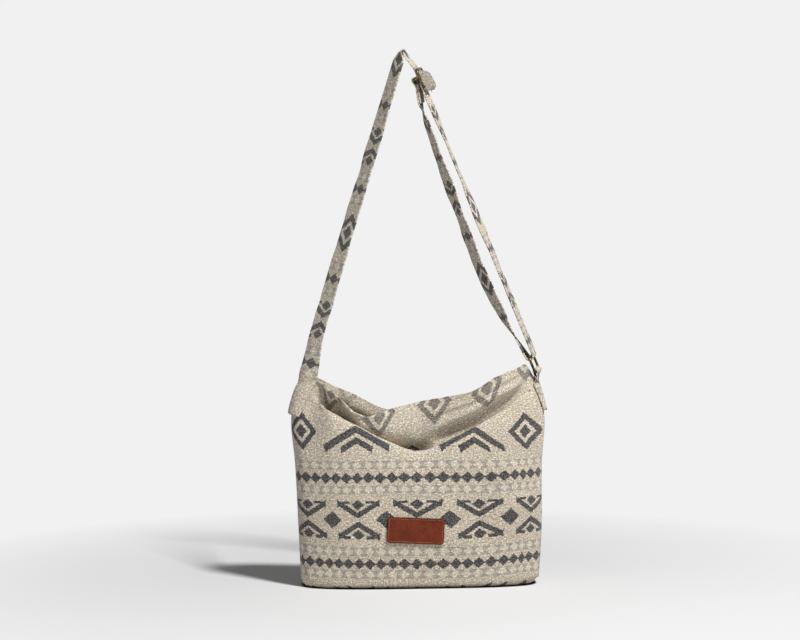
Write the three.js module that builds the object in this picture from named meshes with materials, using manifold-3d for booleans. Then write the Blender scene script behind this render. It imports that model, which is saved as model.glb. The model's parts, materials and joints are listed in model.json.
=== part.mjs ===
// Crossbody bag: a soft woven bag with boxed corners, a slumped open mouth and an adjustable strap.
// Millimetres, +Z up. The front faces -Y and the bag stands on its base at Z = 0.
import * as THREE from 'three';
import Module from 'manifold-3d';
import { mergeVertices } from 'three/addons/utils/BufferGeometryUtils.js';

const wasm = await Module();
wasm.setup();

// Bag body
const baseWidth = 284;
const bellySwell = 8;            // the filled belly is wider than the base by this
const shoulderSwell = 19;        // and the shoulders by this
const bellyWidth = baseWidth + bellySwell;
const shoulderWidth = baseWidth + shoulderSwell;
const mouthReachLeft = 141;      // from the middle to the left mouth corner
const mouthReachRight = 141;     // the right corner stands more upright
const baseDepth = 86;
const bellyDepth = 96;
const shoulderDepth = 76;
const mouthDepth = 30;
const cornerHeight = 250;        // base to the mouth corners
const shoulderFlare = 2;         // the left side stands out where the strap pulls
const cornerPoke = 5;            // the lower right corner is pushed out by what the bag holds
const bottomRadius = 11;         // rolled edge between base and walls
const clothWall = 2;             // cloth with its turned edges
const seamGap = 0.3;             // hairline left between sewn neighbours
const cornerSharpness = 3.2;     // exponent of the plan section: 2 is an ellipse, more is boxier

// Slump of the front: the panel rolls over at a crest, sinks into a valley and rises to its hem
const hemAboveCrest = 12;        // the crest stays at least this far below the hem
const crestDrop = 87;            // lowest point of the crest below the mouth corners
const crestCentre = -0.03;       // where that is, from the left seam (-1) to the right seam (1)
const crestRise = 85;            // how steeply the crest climbs towards the sides
const crestRound = 0.12;         // how softly it turns at its lowest point
const valleyDropLeft = 26;
const valleyDropRight = 5;
const valleyBackLeft = 0.04;     // depth of the valley as a share of the belly's
const valleyBackRight = 0.6;
const frontLip = 29;             // front hem, distance ahead of the seam plane
const backLip = 22;              // back hem, distance behind the seam plane

// Hem heights above or below the mouth corners, from the left seam (-1) to the right seam (1)
const frontHem = [
  [-1, -5], [-0.91, 0], [-0.8, -7], [-0.65, -22], [-0.47, -43], [-0.38, -43.5], [-0.25, -36.5], [-0.1, -31],
  [0.02, -27], [0.2, -22.5], [0.42, -15], [0.62, 1], [0.85, 13], [0.91, 14], [1, -5],
];
const backHem = [
  [-1, -5], [-0.9, 0], [-0.71, -12], [-0.53, -22], [-0.27, -40], [0, -46],
  [0.4, -36], [0.7, -18], [0.92, 2], [1, -5],
];

// Label
const labelWidth = 68;
const labelHeight = 31;
const labelThickness = 1.8;
const labelCorner = 4;
const labelCentreX = -8.5;
const labelCentreZ = 70;
const labelTilt = THREE.MathUtils.degToRad(2.8);
const labelBevel = 0.4;

// Strap
const strapWidth = 25;
const strapThickness = 1.8;
const strapRise = 390;           // from the mouth corners to the strap's highest point
const apexOffset = -19;          // the highest point lies left of the middle
const apexRadius = 3;            // fold of the strap over whatever holds it up
const strapSewnLength = 44;      // end sewn down the left side
const strapStand = 0.6;          // sewn end to the curved side
const strapTurns = [             // share of the rise, turn of the strap's face towards the front in degrees
  [0, 0], [0.06, 0], [0.1, 2], [0.135, 50], [0.2, 52], [0.34, 40], [0.6, 32], [0.9, 26], [1, 20],
];
const runTurn = THREE.MathUtils.degToRad(18);    // the run's outer face is turned to the front
const strapCornerLift = 11;      // the strap turns to the front this far above its sewn end
const strapCornerIn = 7;         // and this far inwards
const strapSplit = 9;            // the strap's two nodes meet this far above the ring's upper bar
const runSteps = 18;

// Hardware
const wireDiameter = 3.2;
const hardwareClearance = 0.3;   // cloth or wire against its neighbour
const ringInnerWidth = 27;
const ringReach = 19;            // from the lower bar to the upper bar
const ringCorner = 4;
const turnRadius = 4.5;          // middle of the cloth where the strap turns round the ring
const sliderLength = 22;         // between the two end bars
const sliderFromApex = 34;       // place of the slider down the run at rest
const tabThickness = 1.6;
const tabSewnLength = 36;
const tabRise = 11;              // from the top of the right seam to the ring's lower bar
const tabOut = 2.5;              // the ring's lower bar hangs this far outside the mouth corner
const loopTail = 28;             // sewn end of the strap below the slider
const loopClosing = 8.4;         // the loop round the centre bar closes this far below it
const returnSlack = [            // share of the run below the slider, slack of the return run there
  [0.12, 4], [0.3, 7], [0.5, 11.5], [0.68, 13.5], [0.84, 9.5], [0.95, 3],
];

// Finer or coarser facets
const frontColumns = 32;
const backColumns = 24;
const frontRows = 24;
const backRows = 12;
const wireSides = 8;
const columnCrowding = 1.8;      // 1 spaces the columns evenly, more draws them to the sides

// Values worked out from the sizes above
const halfGap = seamGap / 2;
const wireRadius = wireDiameter / 2;
const halfStrap = strapThickness / 2;
const seamTopRight = cornerHeight + frontHem[frontHem.length - 1][1];
const ringPivot = new THREE.Vector3(mouthReachRight + tabOut, 0, seamTopRight + tabRise);
const strapApex = new THREE.Vector3(apexOffset, 0, cornerHeight + strapRise);
const runStart = new THREE.Vector3(strapApex.x + apexRadius, 0, strapApex.z - apexRadius);
const runAlong = ringPivot.clone().sub(runStart).normalize();
const across = new THREE.Vector3(0, 1, 0);
const runAcross = across.clone().applyAxisAngle(runAlong, runTurn);
const runOut = new THREE.Vector3().crossVectors(runAlong, runAcross);
const ringTop = ringPivot.clone().addScaledVector(runAlong, -ringReach);
const runLength = runStart.distanceTo(ringTop);
const endBarLevel = halfStrap + hardwareClearance + wireRadius;
const loopRadius = wireRadius + hardwareClearance + halfStrap;
const centreBarLevel = -(halfStrap + hardwareClearance + halfStrap + loopRadius);

// Helpers

// Smooth value at place from [place, value] knots, with a slope shared by neighbouring spans
function throughKnots(knots, place) {
  let i = 0;
  while (i < knots.length - 2 && place > knots[i + 1][0]) i += 1;
  const slopeAt = (k) => {
    const before = knots[Math.max(k - 1, 0)];
    const after = knots[Math.min(k + 1, knots.length - 1)];
    return (after[1] - before[1]) / (after[0] - before[0]);
  };
  const [x0, y0] = knots[i];
  const [x1, y1] = knots[i + 1];
  const span = x1 - x0;
  const t = THREE.MathUtils.clamp((place - x0) / span, 0, 1);
  const rise = t * t * (3 - 2 * t);
  const bend0 = t * (1 - t) * (1 - t) * span * slopeAt(i);
  const bend1 = -t * t * (1 - t) * span * slopeAt(i + 1);
  return y0 + (y1 - y0) * rise + bend0 + bend1;
}

// Closed solid from a grid of points on its outer face, thickened inwards
function sheetSolid(grid, thickness, inwardAt) {
  const rows = grid.length;
  const columns = grid[0].length;
  const vertices = [];
  for (const row of grid) for (const p of row) vertices.push(p.x, p.y, p.z);
  for (let j = 0; j < rows; j += 1) {
    for (let i = 0; i < columns; i += 1) {
      const p = grid[j][i].clone().addScaledVector(inwardAt(j, i), thickness);
      vertices.push(p.x, p.y, p.z);
    }
  }
  const inner = rows * columns;
  const faces = [];
  const quad = (a, b, c, d) => faces.push(a, b, c, a, c, d);
  const at = (j, i) => j * columns + i;
  for (let j = 0; j < rows - 1; j += 1) {
    for (let i = 0; i < columns - 1; i += 1) {
      quad(at(j, i), at(j, i + 1), at(j + 1, i + 1), at(j + 1, i));
      quad(inner + at(j, i), inner + at(j + 1, i), inner + at(j + 1, i + 1), inner + at(j, i + 1));
    }
  }
  for (let i = 0; i < columns - 1; i += 1) {
    quad(at(0, i + 1), at(0, i), inner + at(0, i), inner + at(0, i + 1));
    const top = rows - 1;
    quad(at(top, i), at(top, i + 1), inner + at(top, i + 1), inner + at(top, i));
  }
  for (let j = 0; j < rows - 1; j += 1) {
    quad(at(j, 0), at(j + 1, 0), inner + at(j + 1, 0), inner + at(j, 0));
    const end = columns - 1;
    quad(at(j + 1, end), at(j, end), inner + at(j, end), inner + at(j + 1, end));
  }
  return closedGeometry(vertices, faces);
}

// Geometry with shared corners and without the faces that have collapsed to a line
function closedGeometry(vertices, faces) {
  const loose = new THREE.BufferGeometry();
  loose.setAttribute('position', new THREE.Float32BufferAttribute(vertices, 3));
  loose.setIndex(faces);
  const merged = mergeVertices(loose, 1e-3);
  const index = merged.getIndex().array;
  const kept = [];
  for (let k = 0; k < index.length; k += 3) {
    const [a, b, c] = [index[k], index[k + 1], index[k + 2]];
    if (a !== b && b !== c && c !== a) kept.push(a, b, c);
  }
  merged.setIndex(kept);
  return merged;
}

// Flat strip of cloth: a rectangle swept through stations { at, across }
function ribbonSolid(stations, width, thickness) {
  const vertices = [];
  const faces = [];
  const last = stations.length - 1;
  stations.forEach((station, k) => {
    const before = stations[Math.max(k - 1, 0)].at;
    const after = stations[Math.min(k + 1, last)].at;
    const along = after.clone().sub(before).normalize();
    const side = station.across.clone().addScaledVector(along, -station.across.dot(along)).normalize();
    const face = new THREE.Vector3().crossVectors(along, side);
    for (const [u, v] of [[-1, -1], [1, -1], [1, 1], [-1, 1]]) {
      const p = station.at.clone();
      p.addScaledVector(side, u * width / 2).addScaledVector(face, v * thickness / 2);
      vertices.push(p.x, p.y, p.z);
    }
  });
  for (let k = 0; k < last; k += 1) {
    for (let c = 0; c < 4; c += 1) {
      const a = 4 * k + c;
      const b = 4 * k + (c + 1) % 4;
      faces.push(a, b, b + 4, a, b + 4, a + 4);
    }
  }
  const cap = ([a, b, c, d]) => faces.push(a, b, c, a, c, d);
  const end = 4 * last;
  cap([0, 3, 2, 1]);
  cap([end, end + 1, end + 2, end + 3]);
  return closedGeometry(vertices, faces);
}

function manifoldOf(geometry) {
  const bare = geometry.clone();
  bare.deleteAttribute('normal');
  bare.deleteAttribute('uv');
  const merged = mergeVertices(bare, 1e-4);
  return new wasm.Manifold(new wasm.Mesh({
    numProp: 3,
    vertProperties: new Float32Array(merged.getAttribute('position').array),
    triVerts: new Uint32Array(merged.getIndex().array),
  }));
}

function geometryOf(manifold) {
  const mesh = manifold.getMesh();
  const geometry = new THREE.BufferGeometry();
  geometry.setAttribute('position', new THREE.Float32BufferAttribute(mesh.vertProperties, 3));
  geometry.setIndex(Array.from(mesh.triVerts));
  return geometry;
}

// Plan section of the bag

// Half widths at a height, one set for each side
function widthKnots(mouthReach, poke, flare) {
  const low = THREE.MathUtils.lerp(baseWidth, bellyWidth, 0.5) / 2;
  return [
    [0, baseWidth / 2], [0.14 * cornerHeight, low + poke], [0.34 * cornerHeight, bellyWidth / 2],
    [0.74 * cornerHeight, shoulderWidth / 2], [0.83 * cornerHeight, shoulderWidth / 2 + flare],
    [cornerHeight, mouthReach],
  ];
}

const leftWidths = widthKnots(mouthReachLeft, 0, shoulderFlare);
const rightWidths = widthKnots(mouthReachRight, cornerPoke, 0);
const sideOf = (u) => (u < 0 ? leftWidths : rightWidths);
const halfWidthAt = (z, widths) => throughKnots(widths, Math.min(z, cornerHeight));

function halfDepthAt(z) {
  const knots = [
    [0, baseDepth / 2], [0.33 * cornerHeight, bellyDepth / 2],
    [0.72 * cornerHeight, shoulderDepth / 2], [cornerHeight, mouthDepth / 2],
  ];
  return throughKnots(knots, Math.min(z, cornerHeight));
}

const depthShare = (u) => (1 - Math.abs(u) ** cornerSharpness) ** (1 / cornerSharpness);

// Columns run from seam to seam, closer together where the section turns at the sides
function columnPlaces(count) {
  return Array.from({ length: count + 1 }, (_, i) => {
    const even = 2 * i / count - 1;
    return Math.sign(even) * (1 - (1 - Math.abs(even)) ** columnCrowding);
  });
}

// Panel profiles: knots from the rolled bottom edge up to the hem, as { depth, z }

const hemHeight = (hem, u) => cornerHeight + throughKnots(hem, u);

const crestAt = (u) => cornerHeight - crestDrop
  + crestRise * (Math.hypot(u - crestCentre, crestRound) - crestRound);

// How far a column takes part in the slump: whole in the middle, none at the seams
function slumpShare(u) {
  const reach = u < 0 ? [0.9, 0.7] : [0.98, 0.62];
  return 1 - THREE.MathUtils.smoothstep(Math.abs(u), reach[1], reach[0]);
}

function uprightKnots(hem, u) {
  const height = hemHeight(hem, u);
  const crest = Math.min(crestAt(u), height - hemAboveCrest);
  const levels = [0, 0.27, 0.6, 0.86, 1].map((share) => THREE.MathUtils.lerp(bottomRadius, crest, share));
  levels.push(...[0.14, 0.3, 0.62, 1].map((share) => THREE.MathUtils.lerp(crest, height, share)));
  return levels.map((z) => ({ depth: halfDepthAt(z * cornerHeight / height), z }));
}

function slumpedKnots(u) {
  const height = hemHeight(frontHem, u);
  const crest = Math.min(crestAt(u), height - hemAboveCrest);
  const toRight = THREE.MathUtils.smoothstep(u, -0.5, 0.12);
  const drop = THREE.MathUtils.lerp(valleyDropLeft, valleyDropRight, toRight);
  const belly = bellyDepth / 2;
  const valley = belly * THREE.MathUtils.lerp(valleyBackLeft, valleyBackRight, toRight);
  return [
    { depth: baseDepth / 2, z: bottomRadius },
    { depth: belly * 0.99, z: crest * 0.3 },
    { depth: belly * 1.01, z: crest * 0.62 },
    { depth: belly * 0.99, z: crest * 0.87 },
    { depth: belly * 0.84, z: crest },
    { depth: THREE.MathUtils.lerp(valley, belly * 0.84, 0.45), z: crest - drop * 0.35 },
    { depth: valley, z: crest - drop },
    { depth: THREE.MathUtils.lerp(valley, frontLip, 0.66), z: THREE.MathUtils.lerp(crest, height, 0.42) },
    { depth: frontLip, z: height },
  ];
}

function frontKnots(u) {
  const upright = uprightKnots(frontHem, u);
  const slumped = slumpedKnots(u);
  const share = slumpShare(u);
  return upright.map((knot, k) => ({
    depth: THREE.MathUtils.lerp(knot.depth, slumped[k].depth, share),
    z: THREE.MathUtils.lerp(knot.z, slumped[k].z, share),
  }));
}

function backKnots(u) {
  const knots = uprightKnots(backHem, u);
  const hem = knots[knots.length - 1];
  hem.depth = THREE.MathUtils.lerp(hem.depth, backLip, slumpShare(u));
  return knots;
}

// Panels: each is one piece of cloth from the base seam, round the bottom edge and up to its hem

function panelColumn(u, knotsAt, facing, rows) {
  const widths = sideOf(u);
  const share = depthShare(u);
  const place = (depth, z) => new THREE.Vector3(
    halfWidthAt(z, widths) * u, facing * (halfGap + depth * share), z);
  const baseInset = (inset, z, k) => new THREE.Vector3(
    (baseWidth / 2 - inset) * u, facing * (halfGap + (baseDepth / 2 - inset) * share * k), z);
  const column = [0, 0.5, 1].map((k) => baseInset(bottomRadius, 0, k));
  for (const angle of [30, 60]) {
    const turn = THREE.MathUtils.degToRad(angle);
    column.push(baseInset(bottomRadius * (1 - Math.sin(turn)), bottomRadius * (1 - Math.cos(turn)), 1));
  }
  const knots = knotsAt(u).map(({ depth, z }) => place(depth, z));
  const profile = new THREE.CatmullRomCurve3(knots, false, 'centripetal');
  for (let j = 0; j <= rows; j += 1) column.push(profile.getPoint(j / rows));
  return column;
}

function panelSolid(columns, rows, knotsAt, facing) {
  const places = columnPlaces(columns);
  if (facing > 0) places.reverse();
  const strips = places.map((u) => panelColumn(u, knotsAt, facing, rows));
  const grid = strips[0].map((_, j) => strips.map((strip) => strip[j]));
  const lastRow = grid.length - 1;
  const inwardAt = (j, i) => {
    if (j < 3) return new THREE.Vector3(0, 0, 1);
    const overColumns = grid[j][Math.min(i + 1, columns)].clone().sub(grid[j][Math.max(i - 1, 0)]);
    const overRows = grid[Math.min(j + 1, lastRow)][i].clone().sub(grid[j - 1][i]);
    if (i === 0 || i === columns) overColumns.set(0, overColumns.y, 0);
    return overRows.cross(overColumns).normalize();
  };
  return sheetSolid(grid, clothWall, inwardAt);
}

// Leather label, flat against the belly

function labelSolid() {
  const w = labelWidth / 2 - labelBevel;
  const h = labelHeight / 2 - labelBevel;
  const r = labelCorner;
  const outline = new THREE.Shape();
  outline.moveTo(-w + r, -h);
  outline.lineTo(w - r, -h);
  outline.absarc(w - r, -h + r, r, -Math.PI / 2, 0);
  outline.lineTo(w, h - r);
  outline.absarc(w - r, h - r, r, 0, Math.PI / 2);
  outline.lineTo(-w + r, h);
  outline.absarc(-w + r, h - r, r, Math.PI / 2, Math.PI);
  outline.lineTo(-w, -h + r);
  outline.absarc(-w + r, -h + r, r, Math.PI, 1.5 * Math.PI);
  return new THREE.ExtrudeGeometry(outline, {
    depth: labelThickness - 2 * labelBevel, curveSegments: 4,
    bevelEnabled: true, bevelSize: labelBevel, bevelThickness: labelBevel, bevelSegments: 1,
  });
}

// Place of the front cloth in the middle of the bag at a height
function frontAt(z) {
  const column = panelColumn(labelCentreX / (bellyWidth / 2), frontKnots, -1, frontRows);
  let k = 3;
  while (column[k + 1].z < z) k += 1;
  const t = (z - column[k].z) / (column[k + 1].z - column[k].z);
  return column[k].clone().lerp(column[k + 1], t);
}

function placeLabel(mesh) {
  const low = frontAt(labelCentreZ - labelHeight / 2);
  const high = frontAt(labelCentreZ + labelHeight / 2);
  const middle = frontAt(labelCentreZ);
  const front = Math.min(middle.y, (low.y + high.y) / 2);
  const lean = Math.atan2(high.y - low.y, high.z - low.z);
  mesh.rotation.set(Math.PI / 2 - lean, 0, 0);
  mesh.rotateZ(-labelTilt);
  mesh.position.set(labelCentreX, front - seamGap - labelBevel, labelCentreZ);
}

// Strap

const alongRun = (distance, level) => runStart.clone()
  .addScaledVector(runAlong, distance).addScaledVector(runOut, level);

// The strap from its sewn left end over the apex and straight down to just above the ring
function shoulderStrap() {
  const side = (z) => new THREE.Vector3(
    -(halfWidthAt(z, leftWidths) + strapStand + halfStrap), 0, z);
  const sewn = [0, 0.25, 0.5, 0.75, 1].map((share) => side(cornerHeight - strapSewnLength * (1 - share)));
  const corner = sewn[sewn.length - 1].clone();
  corner.add(new THREE.Vector3(strapCornerIn, 0, strapCornerLift));
  const lift = strapApex.clone().setX(strapApex.x - apexRadius).setZ(strapApex.z - apexRadius);
  const rising = new THREE.CatmullRomCurve3(
    [...sewn, corner, ...[0.1, 0.5, 0.85].map((share) => corner.clone().lerp(lift, share)), lift],
    false, 'centripetal');
  const turned = (share) => {
    const turn = THREE.MathUtils.degToRad(throughKnots(strapTurns, share));
    return across.clone().applyAxisAngle(new THREE.Vector3(0, 0, 1), turn);
  };
  const stations = [];
  const riseSteps = 4 * runSteps;
  for (let k = 0; k <= riseSteps; k += 1) {
    const share = k / riseSteps;
    stations.push({ at: rising.getPointAt(share), across: turned(share) });
  }
  const fold = alongRun(0, turnRadius);
  const over = new THREE.QuadraticBezierCurve3(lift, strapApex.clone().setZ(strapApex.z + apexRadius), fold);
  const top = turned(1);
  for (const share of [0.2, 0.4, 0.6, 0.8]) {
    stations.push({ at: over.getPoint(share), across: top.clone().lerp(runAcross, share) });
  }
  const end = runLength - strapSplit;
  for (const share of [0, 0.06, 0.5, 1]) stations.push({ at: alongRun(end * share, turnRadius), across: runAcross });
  return ribbonSolid(stations, strapWidth, strapThickness);
}

// The rest of the same strip: round the ring, slack up the inner side and sewn round the centre bar
function strapReturn() {
  const stations = [];
  const start = runLength - strapSplit + seamGap;
  const turnAt = runLength + wireRadius + hardwareClearance + halfStrap - turnRadius;
  stations.push({ at: alongRun(start, turnRadius), across: runAcross });
  for (let k = 0; k <= 6; k += 1) {
    const angle = Math.PI * k / 6;
    stations.push({
      at: alongRun(turnAt + turnRadius * Math.sin(angle), turnRadius * Math.cos(angle)), across: runAcross });
  }
  const barAt = sliderFromApex;
  const barLevel = turnRadius + centreBarLevel;
  const inner = barLevel - loopRadius;
  const sewnAt = barAt + loopTail;
  const tailLevel = barLevel + loopRadius;
  const joined = tailLevel - strapThickness - seamGap;
  const slack = [[sewnAt, joined]];
  for (const [share, amount] of returnSlack) {
    const distance = THREE.MathUtils.lerp(sewnAt, turnAt, share);
    slack.push([distance, THREE.MathUtils.lerp(joined, -turnRadius, share) - amount]);
  }
  slack.push([turnAt, -turnRadius]);
  const knots = slack.map(([distance, level]) => alongRun(distance, level)).reverse();
  const run = new THREE.CatmullRomCurve3(knots, false, 'centripetal');
  for (let k = 1; k <= runSteps; k += 1) stations.push({ at: run.getPoint(k / runSteps), across: runAcross });
  stations.push({ at: alongRun(barAt + loopClosing, joined), across: runAcross });
  for (let k = 0; k <= 6; k += 1) {
    const angle = Math.PI * k / 6;
    stations.push({
      at: alongRun(barAt - loopRadius * Math.sin(angle), barLevel - loopRadius * Math.cos(angle)),
      across: runAcross });
  }
  stations.push({ at: alongRun(sewnAt, tailLevel), across: runAcross });
  return ribbonSolid(stations, strapWidth, strapThickness);
}

// Folded tab, sewn down the right side, that holds the ring by its lower bar
function ringTab() {
  const loop = wireRadius + 2 * hardwareClearance + tabThickness / 2;
  const leg = (z, layer) => new THREE.Vector3(
    halfWidthAt(z, rightWidths) + seamGap + tabThickness / 2 + layer * (tabThickness + seamGap), 0, z);
  const low = seamTopRight - tabSewnLength;
  const heights = [low, (low + seamTopRight) / 2, seamTopRight];
  const stations = heights.map((z) => ({ at: leg(z, 0), across }));
  const outward = new THREE.Vector3(1, 0, 0).projectOnPlane(runAcross).normalize();
  const upward = new THREE.Vector3().crossVectors(outward, runAcross);
  for (let k = 0; k <= 8; k += 1) {
    const angle = Math.PI * (1.1 - 1.3 * k / 8);
    const at = ringPivot.clone().addScaledVector(outward, loop * Math.cos(angle));
    stations.push({ at: at.addScaledVector(upward, loop * Math.sin(angle)), across: runAcross });
  }
  for (const z of heights.reverse()) stations.push({ at: leg(z, 1), across });
  return ribbonSolid(stations, strapWidth, tabThickness);
}

// Wire hardware

const wireSection = () => {
  const section = new THREE.Shape();
  section.absarc(0, 0, wireRadius, 0, 2 * Math.PI);
  return section;
};

function wireAlong(path, steps) {
  return new THREE.ExtrudeGeometry(wireSection(), {
    extrudePath: path, steps, curveSegments: wireSides, bevelEnabled: false,
  });
}

// Rounded rectangle of wire, width along Y, from 0 to length along X
function wireFrame(width, length, corner) {
  const frame = new THREE.CurvePath();
  const half = width / 2;
  const at = (x, y) => new THREE.Vector3(x, y, 0);
  const straight = (a, b) => frame.add(new THREE.LineCurve3(a, b));
  const round = (a, b, c) => frame.add(new THREE.QuadraticBezierCurve3(a, b, c));
  straight(at(0, 0), at(0, half - corner));
  round(at(0, half - corner), at(0, half), at(corner, half));
  straight(at(corner, half), at(length - corner, half));
  round(at(length - corner, half), at(length, half), at(length, half - corner));
  straight(at(length, half - corner), at(length, corner - half));
  round(at(length, corner - half), at(length, -half), at(length - corner, -half));
  straight(at(length - corner, -half), at(corner, -half));
  round(at(corner, -half), at(0, -half), at(0, corner - half));
  straight(at(0, corner - half), at(0, 0));
  return frame;
}

function ringSolid() {
  return wireLoop(wireFrame(ringInnerWidth + wireDiameter, ringReach, ringCorner));
}

// Closed wire: a round section carried along a flat closed path
function wireLoop(path) {
  const corners = [];
  for (const curve of path.curves) {
    const steps = curve.type === 'LineCurve3' ? 1 : 4;
    for (let k = 0; k < steps; k += 1) corners.push(curve.getPoint(k / steps));
  }
  corners.shift();
  const count = corners.length;
  const up = new THREE.Vector3(0, 0, 1);
  const vertices = [];
  const faces = [];
  corners.forEach((corner, k) => {
    const before = corners[(k + count - 1) % count];
    const after = corners[(k + 1) % count];
    const into = corner.clone().sub(before).normalize();
    const along = into.clone().add(after.clone().sub(corner).normalize()).normalize();
    const mitre = wireRadius / along.dot(into);
    const out = new THREE.Vector3().crossVectors(along, up);
    for (let s = 0; s < wireSides; s += 1) {
      const angle = 2 * Math.PI * s / wireSides;
      const p = corner.clone().addScaledVector(out, mitre * Math.cos(angle));
      p.addScaledVector(up, wireRadius * Math.sin(angle));
      vertices.push(p.x, p.y, p.z);
    }
    for (let s = 0; s < wireSides; s += 1) {
      const a = k * wireSides + s;
      const b = k * wireSides + (s + 1) % wireSides;
      const c = ((k + 1) % count) * wireSides + (s + 1) % wireSides;
      const d = ((k + 1) % count) * wireSides + s;
      faces.push(a, d, c, a, c, b);
    }
  });
  return closedGeometry(vertices, faces);
}

// Slider: a wire frame on the outer side of the running strap, its centre bar cranked to the inner side
function sliderSolid() {
  const width = ringInnerWidth + wireDiameter;
  const frame = manifoldOf(wireLoop(wireFrame(width, sliderLength, ringCorner)));
  const half = width / 2;
  const middle = sliderLength / 2;
  const crank = centreBarLevel - endBarLevel;
  const bend = 2 * wireRadius;
  const at = (y, z) => new THREE.Vector3(middle, y, z);
  const bar = new THREE.CurvePath();
  bar.add(new THREE.LineCurve3(at(-half, 0), at(-half, crank + bend)));
  bar.add(new THREE.QuadraticBezierCurve3(at(-half, crank + bend), at(-half, crank), at(bend - half, crank)));
  bar.add(new THREE.LineCurve3(at(bend - half, crank), at(half - bend, crank)));
  bar.add(new THREE.QuadraticBezierCurve3(at(half - bend, crank), at(half, crank), at(half, crank + bend)));
  bar.add(new THREE.LineCurve3(at(half, crank + bend), at(half, 0)));
  return geometryOf(frame.add(manifoldOf(wireAlong(bar, 24))));
}

// A group whose X runs down the strap and whose Z points out of its outer face
function onRun(mesh, origin) {
  const group = new THREE.Group();
  group.matrix.makeBasis(runAlong, runAcross, runOut);
  group.quaternion.setFromRotationMatrix(group.matrix);
  group.position.copy(origin);
  group.add(mesh);
  return group;
}

// Materials

const cloth = () => new THREE.MeshStandardMaterial({ color: 0xc7bdac, roughness: 0.95, metalness: 0 });
const leather = () => new THREE.MeshStandardMaterial({ color: 0x7a3a22, roughness: 0.6, metalness: 0 });
const brass = () => new THREE.MeshStandardMaterial({ color: 0x6b5526, roughness: 0.35, metalness: 1 });

function piece(name, geometry, material) {
  const mesh = new THREE.Mesh(geometry, material);
  mesh.name = name;
  return mesh;
}

// Assembly

const bag = new THREE.Group();
bag.add(piece('front_panel', panelSolid(frontColumns, frontRows, frontKnots, -1), cloth()));
bag.add(piece('back_panel', panelSolid(backColumns, backRows, backKnots, 1), cloth()));

const label = piece('leather_label', labelSolid(), leather());
placeLabel(label);
bag.add(label);

bag.add(piece('shoulder_strap', shoulderStrap(), cloth()));
bag.add(piece('strap_return', strapReturn(), cloth()));
bag.add(piece('ring_tab', ringTab(), cloth()));

bag.add(onRun(piece('strap_ring', ringSolid(), brass()), ringTop));
const sliderOrigin = alongRun(sliderFromApex - sliderLength / 2, turnRadius + endBarLevel);
bag.add(onRun(piece('strap_slider', sliderSolid(), brass()), sliderOrigin));

// The origin is under the middle of the whole part, on the surface that it stands on
const reach = new THREE.Box3().setFromObject(bag, true).getCenter(new THREE.Vector3());
bag.position.set(-reach.x, -reach.y, 0);

export default bag;
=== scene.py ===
import json
import math
from functools import partial

import bmesh
import bpy
from mathutils import Matrix, Vector, noise


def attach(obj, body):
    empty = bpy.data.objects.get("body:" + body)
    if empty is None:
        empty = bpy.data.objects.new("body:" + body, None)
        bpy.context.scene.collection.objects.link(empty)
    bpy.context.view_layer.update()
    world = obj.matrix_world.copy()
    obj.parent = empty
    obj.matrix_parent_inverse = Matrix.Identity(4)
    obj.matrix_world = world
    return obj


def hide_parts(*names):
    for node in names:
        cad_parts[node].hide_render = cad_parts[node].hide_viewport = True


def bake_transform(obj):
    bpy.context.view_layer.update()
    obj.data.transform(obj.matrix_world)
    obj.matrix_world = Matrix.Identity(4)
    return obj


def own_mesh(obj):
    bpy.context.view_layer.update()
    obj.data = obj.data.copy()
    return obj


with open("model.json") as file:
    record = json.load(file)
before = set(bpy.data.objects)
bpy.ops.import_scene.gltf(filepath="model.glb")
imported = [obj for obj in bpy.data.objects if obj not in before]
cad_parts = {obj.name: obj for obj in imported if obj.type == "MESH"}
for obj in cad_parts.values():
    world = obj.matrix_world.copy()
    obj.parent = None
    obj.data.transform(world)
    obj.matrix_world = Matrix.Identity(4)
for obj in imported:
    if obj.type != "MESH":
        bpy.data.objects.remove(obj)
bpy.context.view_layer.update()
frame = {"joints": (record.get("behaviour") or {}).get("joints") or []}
scene = bpy.context.scene
print("frame loaded")

# Small helpers, lengths in millimetres until a mesh is placed
mm = 0.001


def tone(red, green, blue):
    def linear(value):
        value /= 255.0
        return value / 12.92 if value <= 0.04045 else ((value + 0.055) / 1.055) ** 2.4
    return (linear(red), linear(green), linear(blue), 1.0)


def lerp(a, b, t):
    return a + (b - a) * t


def ease(low, high, value):
    t = min(max((value - low) / (high - low), 0.0), 1.0)
    return t * t * (3.0 - 2.0 * t)


def throughKnots(knots, place):
    i = 0
    while i < len(knots) - 2 and place > knots[i + 1][0]:
        i += 1

    def slopeAt(k):
        before = knots[max(k - 1, 0)]
        after = knots[min(k + 1, len(knots) - 1)]
        return (after[1] - before[1]) / (after[0] - before[0])
    (x0, y0), (x1, y1) = knots[i], knots[i + 1]
    span = x1 - x0
    t = min(max((place - x0) / span, 0.0), 1.0)
    bend = t * (1 - t) ** 2 * span * slopeAt(i) - t * t * (1 - t) * span * slopeAt(i + 1)
    return y0 + (y1 - y0) * t * t * (3 - 2 * t) + bend


def curvePoint(points, share):     # centripetal curve through the points
    last = len(points) - 1
    place = min(max(share, 0.0), 1.0) * last
    i = min(int(place), last - 1)
    t = place - i
    p1, p2 = points[i], points[i + 1]
    p0 = points[i - 1] if i > 0 else p1 * 2 - p2
    p3 = points[i + 2] if i + 2 <= last else p2 * 2 - p1
    d0, d1, d2 = (max((b - a).length, 1e-8) ** 0.5 for a, b in ((p0, p1), (p1, p2), (p2, p3)))
    out = ((p1 - p0) / d0 - (p2 - p0) / (d0 + d1) + (p2 - p1) / d1) * d1
    into = ((p2 - p1) / d1 - (p3 - p1) / (d1 + d2) + (p3 - p2) / d2) * d1
    return (p1 + out * t + (p2 * 3 - p1 * 3 - out * 2 - into) * t * t
            + (p1 * 2 - p2 * 2 + out + into) * t ** 3)


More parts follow.
